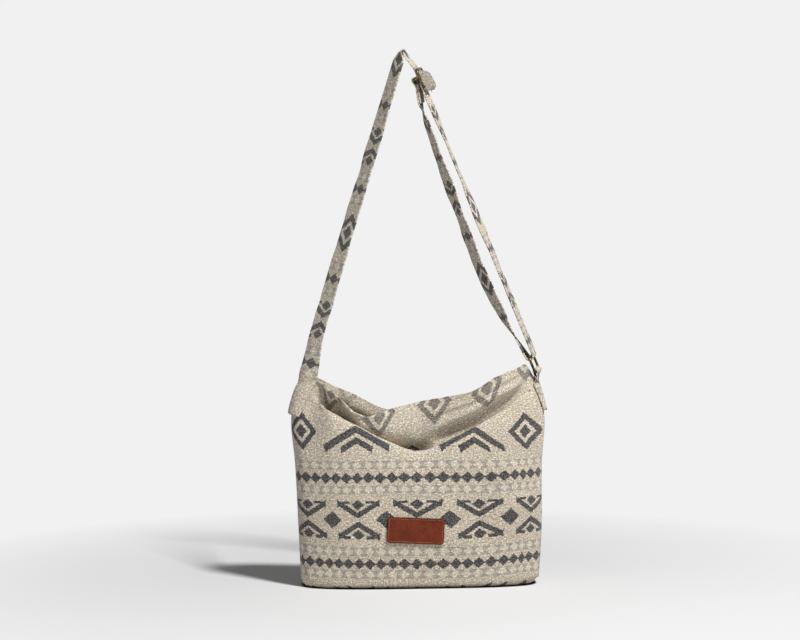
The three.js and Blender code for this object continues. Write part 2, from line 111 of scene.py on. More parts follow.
def runLengths(points):            # the distance along the points to each of them
    run = [0.0]
    for a, b in zip(points, points[1:]):
        run.append(run[-1] + (b - a).length)
    return run


def evenly(points, count):         # the same curve at even steps of length
    steps = len(points) * 40
    fine = [curvePoint(points, k / steps) for k in range(steps + 1)]
    run = runLengths(fine)
    result = []
    k = 0
    for step in range(count + 1):
        want = run[-1] * step / count
        while k < len(run) - 2 and run[k + 1] < want:
            k += 1
        result.append(fine[k].lerp(fine[k + 1], (want - run[k]) / max(run[k + 1] - run[k], 1e-9)))
    return result, run[-1]


ringAt = Vector((143.5, 0.0, 256.0))       # the ring's lower bar, from the bag's middle
shift = Vector(frame["joints"][0]["pos_m"]) / mm - ringAt    # from the bag's middle to the frame's origin


def toFrame(point):
    return (point + shift) * mm


def placed(origin, turn):          # for a piece made about its own middle
    return Matrix.Scale(mm, 4) @ Matrix.Translation(origin + shift) @ turn


def addObject(name, data):
    obj = bpy.data.objects.new(name, data)
    scene.collection.objects.link(obj)
    return obj


def newObject(name, bm):
    mesh = bpy.data.meshes.new(name)
    bm.to_mesh(mesh)
    bm.free()
    return addObject(name, mesh)


def plainMesh(obj):                # what its modifiers or its curve make of an object
    bpy.context.view_layer.update()
    return bpy.data.meshes.new_from_object(obj.evaluated_get(bpy.context.evaluated_depsgraph_get()))


def bevel(bm, parts, offset, segments, affect="EDGES"):
    bmesh.ops.bevel(bm, geom=parts, offset=offset, segments=segments, profile=0.5, affect=affect, material=-1)


def thicken(obj, thickness, offset, rounding):    # cloth gets its thickness, and its cut edges are rounded
    total = len(obj.data.vertices)
    thick = obj.modifiers.new("thickness", "SOLIDIFY")
    thick.thickness = thickness * mm
    thick.offset = offset
    thick.material_offset = len(obj.data.materials) - 1
    mesh = plainMesh(obj)
    obj.modifiers.clear()
    obj.data = mesh
    mesh.name = obj.name
    bm = bmesh.new()
    bm.from_mesh(mesh)
    cut = {face for face in bm.faces
           if 0 < sum(vert.index < total for vert in face.verts) < len(face.verts)}
    rims = [edge for edge in bm.edges if sum(face in cut for face in edge.link_faces) == 1]
    bevel(bm, rims, rounding * mm, 2)
    bm.to_mesh(mesh)
    bm.free()


def shadeSmooth(obj):
    for face in obj.data.polygons:
        face.use_smooth = True


def clothGrid(columns, rows):      # with each corner's column and row, and the maps for the cloth and for baking
    bm = bmesh.new()
    bmesh.ops.create_grid(bm, x_segments=columns, y_segments=rows, size=0.5)
    flat, bake = (bm.loops.layers.uv.new(name) for name in ("cloth", "OFBake"))
    cell = {vert: (round((vert.co.x + 0.5) * columns), round((vert.co.y + 0.5) * rows)) for vert in bm.verts}
    return bm, cell, flat, bake


def roundedLoop(width, height, corner, steps, first):     # an oblong, clockwise from one of its corners
    across, up = width / 2 - corner, height / 2 - corner
    corners = ((across, up, 90), (across, -up, 0), (-across, -up, -90), (-across, up, 180))
    return [Vector((x + corner * math.cos(turn), y + corner * math.sin(turn), 0.0))
            for x, y, start in corners[first:] + corners[:first]
            for turn in (math.radians(start - 90 * k / steps) for k in range(steps + 1))]


# Shader helpers
def wire(socket, value):
    if isinstance(value, bpy.types.NodeSocket):
        socket.id_data.links.new(value, socket)
    else:
        socket.default_value = value


def setInputs(node, values):       # by label or by place
    for label, value in values.items():
        wire(node.inputs[label], value)


def addNode(tree, kind, values, **settings):
    node = tree.nodes.new("ShaderNode" + kind)
    for name, setting in settings.items():
        setattr(node, name, setting)
    setInputs(node, values)
    return node.outputs


def addMath(tree, operation, *values):
    return addNode(tree, "Math", dict(enumerate(values)), operation=operation)[0]


def addRange(tree, value, low, high, outLow=0.0, outHigh=1.0):
    return addNode(tree, "MapRange", {"Value": value, "From Min": low, "From Max": high,
                                      "To Min": outLow, "To Max": outHigh})[0]


def addMix(tree, factor, a, b, kind="MIX"):
    return addNode(tree, "Mix", {0: factor, 6: a, 7: b}, data_type="RGBA", blend_type=kind)[2]


def addNoise(tree, vector, scale, detail=2.0, rough=0.5):
    values = {"Vector": vector, "Scale": scale, "Detail": detail, "Roughness": rough}
    return addNode(tree, "TexNoise", values)["Fac"]


def addSplit(tree, vector):
    return addNode(tree, "SeparateXYZ", {0: vector})


def addStretch(tree, vector, scale):
    return addNode(tree, "VectorMath", {0: vector, 1: scale}, operation="MULTIPLY")[0]


def addBump(tree, shader, height, strength, distance):
    bump = addNode(tree, "Bump", {"Strength": strength, "Distance": distance, "Height": height})
    setInputs(shader, {"Normal": bump[0]})


def objectPlace(tree):
    return addNode(tree, "TexCoord", {})["Object"]


def newGroup(name, labels):        # from the cloth's flat map, in millimetres, to a number for each label
    group = bpy.data.node_groups.new(name, "ShaderNodeTree")
    group.interface.new_socket("Cloth", in_out="INPUT", socket_type="NodeSocketVector")
    for label in labels:
        group.interface.new_socket(label, in_out="OUTPUT", socket_type="NodeSocketFloat")
    flat = addStretch(group, group.nodes.new("NodeGroupInput").outputs[0], (1 / mm, 1 / mm, 0.0))
    return group, flat, group.nodes.new("NodeGroupOutput")


def newMaterial(name):
    material = bpy.data.materials.new(name)
    material.use_nodes = True
    tree = material.node_tree
    return material, tree, tree.nodes["Principled BSDF"]


# Woven bands of the cloth, in millimetres of flat cloth: y runs up from the bottom edge
bands = {
    "pitch": 71.0,                 # from one crossed motif to the next
    "shiftX": -2.4,
    "chainRows": (33.2, 133.8), "chainHalf": (7.7, 6.8), "linkHalf": 0.8,
    "starRows": (20.4, 48.0, 119.8, 149.0), "starHalf": (5.0, 4.8), "pearlHalf": (5.0, 4.4), "starWaist": 0.5,
    "crossRow": 84.8, "armStart": 4.9, "armRise": 0.56, "armHalf": 3.4, "armReach": 27.3,
    "hookRow": 20.2, "hookHalf": 1.7, "hookReach": 10.0, "hookBend": 19.5, "hookDip": 0.55,
    "dotHalf": (8.6, 6.4), "dotRow": 17.2, "dotTop": 22.3,
    "gemHalf": (13.2, 10.2),
    "nestRows": (189.0, -19.0), "nestHalf": (24.5, 23.0),
    "nestRing": 0.63, "nestPale": (0.6, 0.4), "nestCore": 0.37, "paleShare": 0.5,
    "tentRise": 0.62, "tents": ((3.2, 4.6, 38.0), (-10.4, 4.0, 18.5)),     # level, half height and reach
    "upperRow": 262.0, "upperHalf": (22.0, 26.5), "upperShare": 0.7,
    "yarn": (1.15, 0.95), "slipLength": 2.6, "slip": 1.3,
}


def makeBandGroup():
    group, flat, out = newGroup("wovenBands", ("Dark", "Grey", "Light"))
    m = partial(addMath, group)

    def less(a, b):
        return m("LESS_THAN", a, b)

    def apart(a, b):
        return m("ABSOLUTE", m("SUBTRACT", a, b))

    def together(operation, values):
        result = values[0]
        for other in values[1:]:
            result = m(operation, result, other)
        return result

    def both(*masks):
        return together("MULTIPLY", masks)

    def either(*masks):
        return together("MAXIMUM", masks)

    def gap(value, rows):          # distance to the nearest of several rows
        return together("MINIMUM", [apart(value, row) for row in rows])

    def repeat(value, start, half):    # distance to the nearest of evenly spaced columns
        return m("PINGPONG", m("SUBTRACT", value, start), half)

    def lozenge(dx, dy, half):
        return m("ADD", m("DIVIDE", dx, half[0]), m("DIVIDE", dy, half[1]))

    b = bands
    flatX, flatY, _ = addSplit(group, flat)
    row = m("FLOOR", m("DIVIDE", flatY, b["yarn"][1]))
    place = addNode(group, "CombineXYZ", {0: m("FLOOR", m("DIVIDE", flatX, b["slipLength"])), 1: row})
    uneven = addNode(group, "TexWhiteNoise", {"Vector": place[0]}, noise_dimensions="2D")
    slip = m("MULTIPLY", m("SUBTRACT", uneven["Value"], 0.5), b["slip"])
    thread = m("FLOOR", m("DIVIDE", m("ADD", flatX, slip), b["yarn"][0]))
    x = m("MULTIPLY", m("ADD", thread, 0.5), b["yarn"][0])
    y = m("MULTIPLY", m("ADD", row, 0.5), b["yarn"][1])

    pitch, start = b["pitch"], b["shiftX"]
    chainX = repeat(x, start, pitch / 10)
    betweenX = m("SUBTRACT", pitch / 10, chainX)
    chainY = gap(y, b["chainRows"])
    chain = either(less(lozenge(chainX, chainY, b["chainHalf"]), 1.0), less(chainY, b["linkHalf"]))

    starY = gap(y, b["starRows"])
    inStar = less(starY, b["starHalf"][1])
    pearl = both(inStar, less(lozenge(chainX, starY, b["pearlHalf"]), 1.0))
    flare = m("ADD", b["starWaist"], m("MULTIPLY", starY, b["starHalf"][0] / b["starHalf"][1]))
    hourglass = both(inStar, less(betweenX, flare))

    crossX = repeat(x, start, pitch / 2)
    crossY = apart(y, b["crossRow"])
    armY = m("ADD", b["armStart"], m("MULTIPLY", crossX, b["armRise"]))
    arm = both(less(apart(crossY, armY), b["armHalf"]), less(crossX, b["armReach"]))
    pastBend = m("MAXIMUM", m("SUBTRACT", crossX, b["hookBend"]), 0.0)
    hookY = m("SUBTRACT", b["hookRow"], m("MULTIPLY", pastBend, b["hookDip"]))
    hook = both(less(apart(crossY, hookY), b["hookHalf"]),
                less(crossX, b["armReach"]), less(b["hookReach"], crossX))
    dotY = apart(crossY, b["dotRow"])
    dot = both(less(lozenge(crossX, dotY, b["dotHalf"]), 1.0), less(crossY, b["dotTop"]))
    gem = less(lozenge(m("SUBTRACT", pitch / 2, crossX), crossY, b["gemHalf"]), 1.0)

    nestX = repeat(x, start, pitch)
    nestY = m("MAXIMUM", m("SUBTRACT", y, b["nestRows"][0]), m("SUBTRACT", b["nestRows"][1], y))

    def nested(dx, dy, half):
        d = lozenge(dx, m("ABSOLUTE", dy), half)
        ring = both(less(d, 1.0), less(b["nestRing"], d))
        pale = both(less(d, b["nestPale"][0]), less(b["nestPale"][1], d))
        return either(ring, less(d, b["nestCore"])), pale
    nest, nestPale = nested(nestX, nestY, b["nestHalf"])
    tentX = m("SUBTRACT", pitch, nestX)
    tentY = m("ADD", nestY, m("MULTIPLY", tentX, b["tentRise"]))
    tents = [both(less(apart(tentY, level), half), less(tentX, reach)) for level, half, reach in b["tents"]]
    upperX = repeat(x, start + pitch / 2, pitch / 2)
    upper, upperPale = nested(upperX, m("SUBTRACT", y, b["upperRow"]), b["upperHalf"])

    dark = either(chain, arm, hook, dot, gem, nest, *tents, m("MULTIPLY", upper, b["upperShare"]))
    pale = m("MULTIPLY", either(nestPale, upperPale), b["paleShare"])
    setInputs(out, {"Dark": dark, "Grey": hourglass, "Light": either(pearl, pale)})
    return group


slubs = {
    "slubStretch": (0.3, 0.62, 1.0), "fleckStretch": (0.62, 0.5, 1.0), "speckleRange": (0.38, 0.62),
    "cloudScale": 0.03, "basketHeight": 0.28, "speckleHeight": 1.1,
}


def makeWeaveGroup():              # slubby yarn: speckle for the colour and height for the bump
    group, flat, out = newGroup("slubWeave", ("Speckle", "Cloud", "Height"))
    m = partial(addMath, group)
    slub = addNoise(group, addStretch(group, flat, slubs["slubStretch"]), 1.0, 2.0, 0.6)
    fleck = addNoise(group, addStretch(group, flat, slubs["fleckStretch"]), 1.0, 1.0, 0.5)
    speckle = m("ADD", m("MULTIPLY", slub, 0.5), m("MULTIPLY", fleck, 0.5))
    split = addSplit(group, flat)
    warp, weft = (m("SINE", m("MULTIPLY", split[k], 2 * math.pi / bands["yarn"][k])) for k in range(2))
    basket = m("MULTIPLY", m("MULTIPLY", warp, weft), slubs["basketHeight"])
    setInputs(out, {"Speckle": addRange(group, speckle, *slubs["speckleRange"]),
                    "Cloud": addNoise(group, flat, slubs["cloudScale"], 3.0),
                    "Height": m("ADD", basket, m("MULTIPLY", speckle, slubs["speckleHeight"]))})
    return group


bandGroup = makeBandGroup()
weaveGroup = makeWeaveGroup()

cloth = {
    "ground": tone(222, 210, 190), "shade": tone(150, 138, 120), "pale": tone(238, 232, 220),
    "charcoal": tone(51, 50, 51), "charcoalPale": tone(112, 108, 105),
    "grey": tone(128, 120, 111), "greyPale": tone(178, 170, 158),
    "greyShare": 0.85, "lightShare": 0.26, "darkHeight": 0.35, "bump": (0.55, 0.0007),
}


def makeCloth(name, strength, roughness, level=1.0):
    material, tree, shader = newMaterial(name)
    flat = addNode(tree, "UVMap", {}, uv_map="cloth")[0]
    weave, band = (addNode(tree, "Group", {"Cloth": flat}, node_tree=group) for group in (weaveGroup, bandGroup))
    speckle = weave["Speckle"]

    def shareOf(label, share):
        return addMath(tree, "MULTIPLY", band[label], share)
    ground = addMix(tree, speckle, cloth["shade"], cloth["ground"])
    ground = addMix(tree, addRange(tree, speckle, 0.72, 1.0), ground, cloth["pale"])
    grey = addMix(tree, speckle, cloth["grey"], cloth["greyPale"])
    charcoal = addMix(tree, addRange(tree, speckle, 0.3, 1.0), cloth["charcoal"], cloth["charcoalPale"])
    colour = addMix(tree, shareOf("Grey", cloth["greyShare"] * strength), ground, grey)
    colour = addMix(tree, shareOf("Light", cloth["lightShare"] * strength), colour, cloth["pale"])
    colour = addMix(tree, shareOf("Dark", strength), colour, charcoal)
    # a level below 1 darkens the whole cloth, a painted shade
    cloud = addRange(tree, weave["Cloud"], 0.3, 0.7, 0.93 * level, 1.05 * level)
    setInputs(shader, {"Base Color": addMix(tree, 1.0, colour, cloud, "MULTIPLY"),
                       "Roughness": addRange(tree, speckle, 0.0, 1.0, roughness + 0.05, roughness - 0.05),
                       "Specular IOR Level": 0.25, "Sheen Weight": 0.12, "Sheen Roughness": 0.6})
    height = addMath(tree, "ADD", weave["Height"], shareOf("Dark", cloth["darkHeight"]))
    addBump(tree, shader, height, *cloth["bump"])
    return material


clothFace = makeCloth("clothFace", 1.0, 0.9)
clothInside = makeCloth("clothInside", 0.55, 0.92)
strapCloth = makeCloth("strapCloth", 0.95, 0.9)
# a darker copy of the strap cloth: painted shade for the slider's bulge
shadedFoldCloth = makeCloth("shadedFoldCloth", 0.95, 0.9, 0.52)
print("cloth materials made")

# Bag body, the same form as the solids
bag = {
    "baseWidth": 284.0, "bellyWidth": 292.0, "shoulderWidth": 303.0,
    "reachLeft": 141.0, "reachRight": 141.0, "cornerPoke": 11.0, "shoulderFlare": 2.0,
    "baseDepth": 86.0, "bellyDepth": 96.0, "shoulderDepth": 76.0, "mouthDepth": 30.0,
    "height": 250.0, "bottomRadius": 8.0, "wall": 2.0, "halfGap": 0.15, "sharpness": 3.2,
    "crestDrop": 87.0, "crestCentre": -0.03, "crestRise": 85.0, "crestRound": 0.12,
    "leastRise": 12.0, "valleyLeft": 32.0, "valleyRight": 5.0, "frontLip": 29.0, "rolledLip": 37.0, "backLip": 22.0,
    "frontHem": ((-1, -5), (-0.91, 0), (-0.8, -7), (-0.65, -22), (-0.47, -43), (-0.38, -43.5), (-0.25, -36.5),
                 (-0.1, -31), (0.02, -27), (0.2, -22.5), (0.42, -15), (0.62, 1), (0.85, 13), (0.91, 14), (1, -5)),
    "backHem": ((-1, -5), (-0.9, 0), (-0.71, -12), (-0.53, -22), (-0.27, -40), (0, -46),
                (0.4, -36), (0.7, -18), (0.92, 2), (1, -5)),
    "clothPlaces": ((-0.912, -2), (-0.718, -1.5), (-0.51, -1), (-0.278, -0.5), (-0.03, 0),
                    (0.2365, 0.5), (0.4705, 1), (0.722, 1.5), (0.8905, 2)),     # in motifs
    "clothDrag": ((-1, 0), (-0.91, 2), (-0.76, 6.5), (-0.52, -1), (-0.256, -3), (0, 5), (0.17, 13), (0.43, 7.4),
                  (0.666, 16), (0.81, 14.6), (0.953, 5.6), (1, 3)),
    "clothHem": 266.5, "backShift": 28.0, "slumpFade": ((0.7, 0.9), (0.78, 0.99)),     # left and right
    "columns": 190, "baseRows": 8, "rollRows": 6, "wallRows": 118, "crowding": 1.5,
    "beltHeight": 100.0, "rimRound": 0.7,
    "sag": 3.2, "tilt": 4.6, "backFollow": 0.6, "hemDip": 12.0, "hemDrag": (13.0, 21.0),   # of the bands
}


def halfWidthAt(z, right):
    h = bag["height"]
    low = lerp(bag["baseWidth"], bag["bellyWidth"], 0.5) / 2 + (bag["cornerPoke"] if right else 0.0)
    reach = bag["reachRight"] if right else bag["reachLeft"]
    shoulder = bag["shoulderWidth"] / 2
    flare = 0.0 if right else bag["shoulderFlare"]
    return throughKnots(((0, bag["baseWidth"] / 2), (0.14 * h, low), (0.34 * h, bag["bellyWidth"] / 2),
                         (0.74 * h, shoulder), (0.83 * h, shoulder + flare), (h, reach)), min(z, h))


def halfDepthAt(z):
    h = bag["height"]
    return throughKnots(((0, bag["baseDepth"] / 2), (0.33 * h, bag["bellyDepth"] / 2),
                         (0.72 * h, bag["shoulderDepth"] / 2), (h, bag["mouthDepth"] / 2)), min(z, h))


def depthShare(u):
    return max(1 - abs(u) ** bag["sharpness"], 0.0) ** (1 / bag["sharpness"])


def slumpShare(u):
    return 1 - ease(*bag["slumpFade"][u >= 0], abs(u))


def crestAt(u):
    turn = bag["crestRound"]
    away = math.hypot(u - bag["crestCentre"], turn) - turn
    return bag["height"] - bag["crestDrop"] + bag["crestRise"] * away


def uprightKnots(hem, u):
    height = bag["height"] + throughKnots(hem, u)
    low = bag["bottomRadius"]
    crest = min(crestAt(u), height - bag["leastRise"])
    levels = [low] + [low + (crest - low) * share for share in (0.27, 0.6, 0.86, 1)]
    levels += [crest + (height - crest) * share for share in (0.14, 0.3, 0.62, 1)]
    return [(halfDepthAt(z * bag["height"] / height), z) for z in levels]


mouth = {                          # depths as shares of the belly's half depth, u from side to side
    "hollow": (-0.5, 0.12),        # the valley is deep at the left and shallow at the right
    "closing": (-0.62, -0.86), "closedDrop": 6.0, "closedBack": 0.7,     # it closes towards the left corner
    "snugFrom": (-0.66, -0.46), "snugTo": (0.12, -0.1),      # here the flap hangs over the crest
    "back": (0.04, 0.6), "snugBack": -0.05, "crown": (0.84, 0.68),
    "tuck": (0.4, 0.66), "snugTuck": 1.06, "foldLevel": 0.42, "snugLevel": 0.29,
}


def slumpedKnots(u):
    height = bag["height"] + throughKnots(bag["frontHem"], u)
    crest = min(crestAt(u), height - bag["leastRise"])
    rise = height - crest
    belly = bag["bellyDepth"] / 2
    shallow = ease(*mouth["hollow"], u)
    closed = ease(*mouth["closing"], u)
    snug = ease(*mouth["snugFrom"], u) * ease(*mouth["snugTo"], u)
    drop = lerp(lerp(bag["valleyLeft"], bag["valleyRight"], shallow), mouth["closedDrop"], closed)
    back = lerp(lerp(lerp(*mouth["back"], shallow), mouth["closedBack"], closed), mouth["snugBack"], snug)
    lip = lerp(bag["frontLip"], bag["rolledLip"], ease(-0.1, -0.4, u) + 1.9 * ease(0.12, 0.55, u))
    crown = lerp(*mouth["crown"], ease(0.3, 0.7, u))
    tuck = lerp(lerp(*mouth["tuck"], ease(-0.45, -0.1, u)), mouth["snugTuck"], snug)
    fold = crest + rise * lerp(mouth["foldLevel"], mouth["snugLevel"], snug)
    return [(bag["baseDepth"] / 2, bag["bottomRadius"]), (belly * 0.99, crest * 0.3),
            (belly * 1.01, crest * 0.62), (belly * 0.99, crest * 0.87), (belly * crown, crest),
            (belly * lerp(back, crown, 0.45), crest - drop * 0.35), (belly * back, crest - drop),
            (lerp(belly * back, lip, tuck), fold), (lip, height)]


def frontKnots(u):
    share = slumpShare(u)
    return [(lerp(a[0], b[0], share), lerp(a[1], b[1], share))
            for a, b in zip(uprightKnots(bag["frontHem"], u), slumpedKnots(u))]


def backKnots(u):
    knots = uprightKnots(bag["backHem"], u)
    depth, z = knots[-1]
    knots[-1] = (lerp(depth, bag["backLip"], slumpShare(u)), z)
    return knots


def panelColumn(u, knotsAt, facing):
    share = depthShare(u)
    radius = bag["bottomRadius"]

    def onBase(inset, z, k):
        return Vector(((bag["baseWidth"] / 2 - inset) * u,
                       facing * (bag["halfGap"] + (bag["baseDepth"] / 2 - inset) * share * k), z))
    column = [onBase(radius, 0.0, k / bag["baseRows"]) for k in range(bag["baseRows"] + 1)]
    for k in range(1, bag["rollRows"]):
        turn = math.pi / 2 * k / bag["rollRows"]
        column.append(onBase(radius * (1 - math.sin(turn)), radius * (1 - math.cos(turn)), 1.0))
    knots = [Vector((halfWidthAt(z, u > 0) * u, facing * (bag["halfGap"] + depth * share), z))
             for depth, z in knotsAt(u)]
    column += [curvePoint(knots, j / bag["wallRows"]) for j in range(bag["wallRows"] + 1)]
    return column


def columnPlace(share):
    even = 2 * share - 1
    return math.copysign(1 - (1 - abs(even)) ** bag["crowding"], even)


label = {
    "width": 68.0, "height": 31.0, "thickness": 1.8, "corner": 4.0, "x": -8.5, "z": 70.0,
    "tilt": math.radians(2.8), "edge": 0.52, "insets": (1.2, 0.8, 1.4), "press": 0.3,
    "stitchInset": 2.0, "stitchPitch": 2.5, "stitchGroove": 0.22, "stitchLean": 0.12,
    "thread": (1.65, 0.6, 0.5), "threadRound": 0.17,
}


flap = {"ridge": 5.5, "groove": 4.5, "upperRidge": 3.0, "roll": 4.2}


def flapFolds(u, t):               # soft folds of the slumped flap, t from the valley to the hem
    def hump(centre, above, below):
        return math.exp(-((t - centre) / (above if t > centre else below)) ** 2)
    lower = 0.5 + 0.1 * math.sin(3.2 * u - 0.4)
    folds = flap["ridge"] * hump(lower, 0.14, 0.07) - flap["groove"] * hump(lower - 0.22, 0.11, 0.11)
    folds += flap["upperRidge"] * hump(0.74 + 0.12 * u, 0.09, 0.045)
    roll = flap["roll"] * hump(0.9, 0.13, 0.13)
    return (folds * ease(0.0, 0.2, u) * ease(0.92, 0.7, u)
            + roll * ease(-0.2, -0.4, u) * ease(-0.92, -0.75, u))


wrinkles = {"broad": (62.0, 2.2), "slanted": (30.0, 0.9), "fine": (13.0, 0.35)}     # size and depth


def wrinkle(point, u, v, height, facing):    # how far the cloth stands off its smooth form
    calm = ease(1.0, 0.86, abs(u)) * ease(2.0, 40.0, v) * ease(0.0, 14.0, height - v)
    if facing < 0:
        dx = max(abs(point.x - label["x"]) - label["width"] / 2, 0.0)
        dz = max(abs(point.z - label["z"]) - label["height"] / 2, 0.0)
        calm *= ease(0.0, 24.0, math.hypot(dx, dz))
    place = point + Vector((0.0, 300.0 * facing, 0.0))
    slanted = Vector((point.x * 0.9 + point.z * 0.5, point.z * 1.5 - point.x * 0.4, 90.0 * facing))
    places = (("broad", place), ("slanted", slanted), ("fine", place))
    return calm * sum(noise.noise(at / wrinkles[kind][0]) * wrinkles[kind][1] for kind, at in places)


def sideLength(u):                 # round the belly from the last motif in the table to this place
    edge = bag["clothPlaces"][0 if u < 0 else -1][0]
    wide, deep = bag["bellyWidth"] / 2, bag["bellyDepth"] / 2
    places = [lerp(edge, u, k / 40) for k in range(41)]
    return runLengths([Vector((wide * at, deep * depthShare(at), 0.0)) for at in places])[-1]


def clothAcross(u, v, facing):     # the cloth lies closer at the sides, and the slump drags the upper part left
    table = bag["clothPlaces"]
    across = bands["pitch"] * throughKnots(table, min(max(u, table[0][0]), table[-1][0]))
    if u < table[0][0] or u > table[-1][0]:
        across += math.copysign(sideLength(u), u)
    if facing > 0:
        return across - bag["backShift"]
    middle, slope = bag["hemDrag"]
    drag = lerp(throughKnots(bag["clothDrag"], u), middle + slope * u, ease(205, 240, v))
    return across + drag * ease(140, 185, v)


def clothUp(u, length, hemLength, gathered, facing):
    middle = 1 - min(abs(u) / 0.9, 1.0) ** 2         # the filled middle sinks a little
    tilt = bag["tilt"] * ease(0.3, 0.95, u) * (1 - ease(140, 175, length))
    up = length + bag["sag"] * middle * (1 - ease(45, 110, length)) - tilt
    if facing > 0:
        return up + bag["backFollow"] * (bag["clothHem"] - hemLength) * ease(90, 240, up)
    fromHem = bag["clothHem"] - hemLength + length - bag["hemDip"] * ease(0.75, 0.93, u)
    return lerp(up, fromHem, gathered * max(slumpShare(u), ease(0.7, 0.93, u)))


def atHeight(strip, z):            # where a column first passes this height
    k = next(k for k in range(1, len(strip)) if strip[k].z >= z)
    a, b = strip[k - 1], strip[k]
    return a.lerp(b, (z - a.z) / (b.z - a.z))


def makePanel(name, node, knotsAt, facing):
    count = bag["columns"]
    places = [columnPlace(i / count) for i in range(count + 1)]
    if facing > 0:
        places.reverse()
    strips = [panelColumn(u, knotsAt, facing) for u in places]
    rows = len(strips[0]) - 1
    fold = bag["baseRows"]                           # row where the base turns up
    lengths = []
    for strip in strips:
        run = runLengths(strip)
        lengths.append([length - run[fold] - bag["bottomRadius"] * (math.pi / 2 - 1) for length in run])
    width = runLengths([atHeight(strip, bag["beltHeight"]) for strip in strips])[-1]
    tall = lengths[count // 2][-1] - lengths[count // 2][0]
    wallStart = fold + bag["rollRows"]
    crestRow, valleyRow = (wallStart + round(bag["wallRows"] * share) for share in (0.52, 0.74))
    bm, cell, flat, bake = clothGrid(count, rows)
    for vert, (i, j) in cell.items():
        vert.co = strips[i][j]
    bm.normal_update()
    for face in bm.faces:
        for loop in face.loops:
            i, j = cell[loop.vert]
            gathered = ease(crestRow, valleyRow, j)  # cloth is gathered out of sight in the valley
            up = clothUp(places[i], lengths[i][j], lengths[i][-1], gathered, facing)
            loop[flat].uv = (clothAcross(places[i], up, facing) * mm, up * mm)
            loop[bake].uv = (0.01 + 0.48 * i / count, 0.01 + 0.98 * j / rows)
    for vert, (i, j) in cell.items():
        stand = wrinkle(vert.co, places[i], lengths[i][j], lengths[i][-1], facing)
        if facing < 0 and j > valleyRow:
            stand += flapFolds(places[i], (j - valleyRow) / (rows - valleyRow))
        vert.co = toFrame(vert.co + vert.normal * stand)
    bmesh.ops.remove_doubles(bm, verts=bm.verts, dist=1e-6)
    obj = newObject(name, bm)
    obj.data.materials.append(clothFace)
    obj.data.materials.append(clothInside)
    thicken(obj, bag["wall"], -1.0, bag["rimRound"])
    inside = obj.data.uv_layers["OFBake"].data
    for face in obj.data.polygons:
        if face.material_index == 1:
            for k in face.loop_indices:
                inside[k].uv.x += 0.5
    shadeSmooth(obj)
    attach(obj, "bag")
    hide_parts(node)
    print(name, "made, flat", round(width), "by", round(tall), "mm")
    return obj, width * mm, tall * mm


frontPanel, frontWidth, frontLength = makePanel("frontPanel", "front_panel", frontKnots, -1)
backPanel, backWidth, backLength = makePanel("backPanel", "back_panel", backKnots, 1)

# Leather label
leather = {
    "mid": tone(105, 41, 19), "dark": tone(72, 24, 10), "pale": tone(124, 54, 29), "thread": tone(176, 128, 84),
    "poreScale": 1100.0, "cloudScale": 90.0, "grainScale": 700.0, "strandScale": 900.0, "darkRim": 0.0016,
}


def makeLeather():
    material, tree, shader = newMaterial("labelLeather")
    place = objectPlace(tree)
    pores = addNode(tree, "TexVoronoi", {"Vector": place, "Scale": leather["poreScale"]})["Distance"]
    cloud = addNoise(tree, place, leather["cloudScale"], 4.0, 0.6)
    grain = addNoise(tree, place, leather["grainScale"], 3.0, 0.6)
    colour = addMix(tree, addRange(tree, cloud, 0.22, 0.56), leather["dark"], leather["mid"])
    colour = addMix(tree, addRange(tree, grain, 0.5, 0.75), colour, leather["pale"])
    fromEdge = addSplit(tree, addNode(tree, "UVMap", {}, uv_map="edge")[0])[0]
    rim = addRange(tree, fromEdge, 0.0, leather["darkRim"], 0.65, 0.0)
    setInputs(shader, {"Base Color": addMix(tree, rim, colour, leather["dark"]),
                       "Roughness": addRange(tree, grain, 0.3, 0.7, 0.62, 0.48), "Specular IOR Level": 0.22})
    height = addMath(tree, "ADD", addMath(tree, "MULTIPLY", pores, 0.8), grain)
    addBump(tree, shader, height, 0.35, 0.0003)
    return material


def frontAt(z):
    return atHeight(panelColumn(label["x"] / (bag["bellyWidth"] / 2), frontKnots, -1), z)


def labelPlace():
    low, high = frontAt(label["z"] - label["height"] / 2), frontAt(label["z"] + label["height"] / 2)
    front = min(frontAt(label["z"]).y, (low.y + high.y) / 2)
    lean = math.atan2(high.y - low.y, high.z - low.z)
    turn = Matrix.Rotation(math.pi / 2 - lean, 4, "X") @ Matrix.Rotation(-label["tilt"], 4, "Z")
    return placed(Vector((label["x"], front - label["press"], label["z"])), turn)


def rimDistance(point):            # from the label's outline, positive inside
    dx = abs(point.x) - label["width"] / 2 + label["corner"]
    dy = abs(point.y) - label["height"] / 2 + label["corner"]
    outside = math.hypot(max(dx, 0.0), max(dy, 0.0)) + min(max(dx, dy), 0.0)
    return label["corner"] - outside


